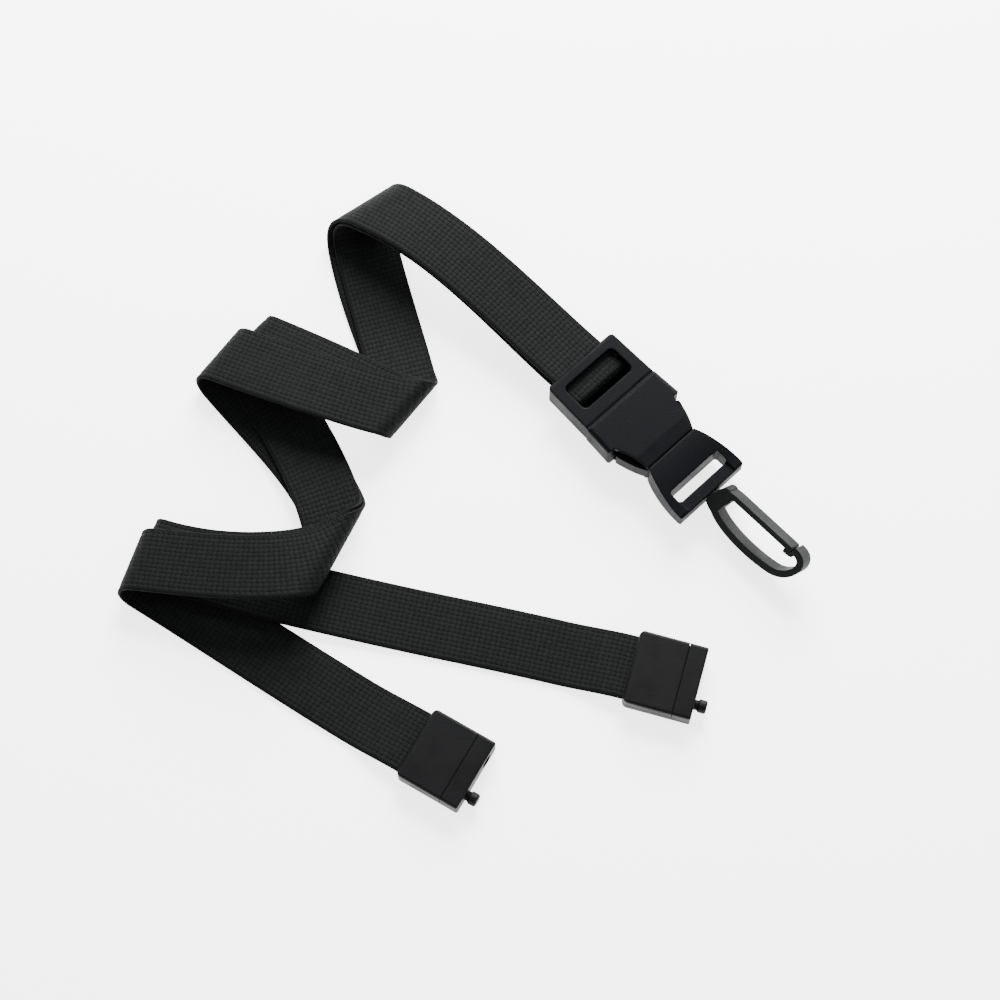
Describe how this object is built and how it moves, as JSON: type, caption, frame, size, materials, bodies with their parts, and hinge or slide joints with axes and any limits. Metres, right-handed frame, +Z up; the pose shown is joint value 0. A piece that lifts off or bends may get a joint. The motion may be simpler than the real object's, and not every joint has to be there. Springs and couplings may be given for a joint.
{
  "type": "lanyard",
  "caption": "Flat woven neck lanyard laid in zigzag folds, with a side-release buckle, a swivel snap hook and a two-part breakaway clasp.",
  "frame": {"origin": "middle of the part's footprint, on the surface that it lies on", "axes": "+X runs along the buckle from its socket towards the hook, +Y to the left of it, +Z up from the table"},
  "size_m": [0.2012, 0.1734, 0.0148],
  "materials": {
    "tape": "woven polyester tape, waffle weave with plain selvages",
    "buckle_plastic": "moulded acetal, fine satin grain",
    "hook_plastic": "moulded acetal, smooth satin",
    "clasp_plastic": "moulded acetal, fine satin grain"
  },
  "bodies": {
    "strap": {"webbing": "tape", "buckle_socket": "buckle_plastic", "clasp_body_a": "clasp_plastic", "clasp_cover_a": "clasp_plastic", "clasp_body_b": "clasp_plastic", "clasp_cover_b": "clasp_plastic"},
    "plug": {"buckle_plug": "buckle_plastic"},
    "arm_left": {"release_arm_left": "buckle_plastic"},
    "arm_right": {"release_arm_right": "buckle_plastic"},
    "hook": {"hook_body": "hook_plastic"},
    "gate": {"hook_gate": "hook_plastic"}
  },
  "joints": [
    {"name": "plug_slide", "type": "slide", "parent": "strap", "child": "plug", "axis": [1, 0, 0], "range_m": [0, 0.028], "deforming": ["release_arm_left", "release_arm_right"]},
    {"name": "arm_left_squeeze", "type": "hinge", "parent": "plug", "child": "arm_left", "pos_m": [0.03536, 0.07776, 0.007], "axis": [0, 0, 1], "range_deg": [0, 6], "stiffness_Nm_per_rad": 0.5},
    {"name": "arm_right_squeeze", "type": "hinge", "parent": "plug", "child": "arm_right", "pos_m": [0.03536, 0.06456, 0.007], "axis": [0, 0, 1], "range_deg": [-6, 0], "stiffness_Nm_per_rad": 0.5},
    {"name": "hook_swivel", "type": "hinge", "parent": "plug", "child": "hook", "pos_m": [0.05076, 0.07116, 0.007], "axis": [1, 0, 0], "continuous": true},
    {"name": "gate_open", "type": "hinge", "parent": "hook", "child": "gate", "pos_m": [0.05696, 0.07495, 0.01041], "axis": [0, -0.6691, 0.7431], "range_deg": [-12, 0], "stiffness_Nm_per_rad": 0.1}
  ],
  "couplings": [
    {"joint": "arm_right_squeeze", "follows": "arm_left_squeeze", "ratio": -1}
  ]
}
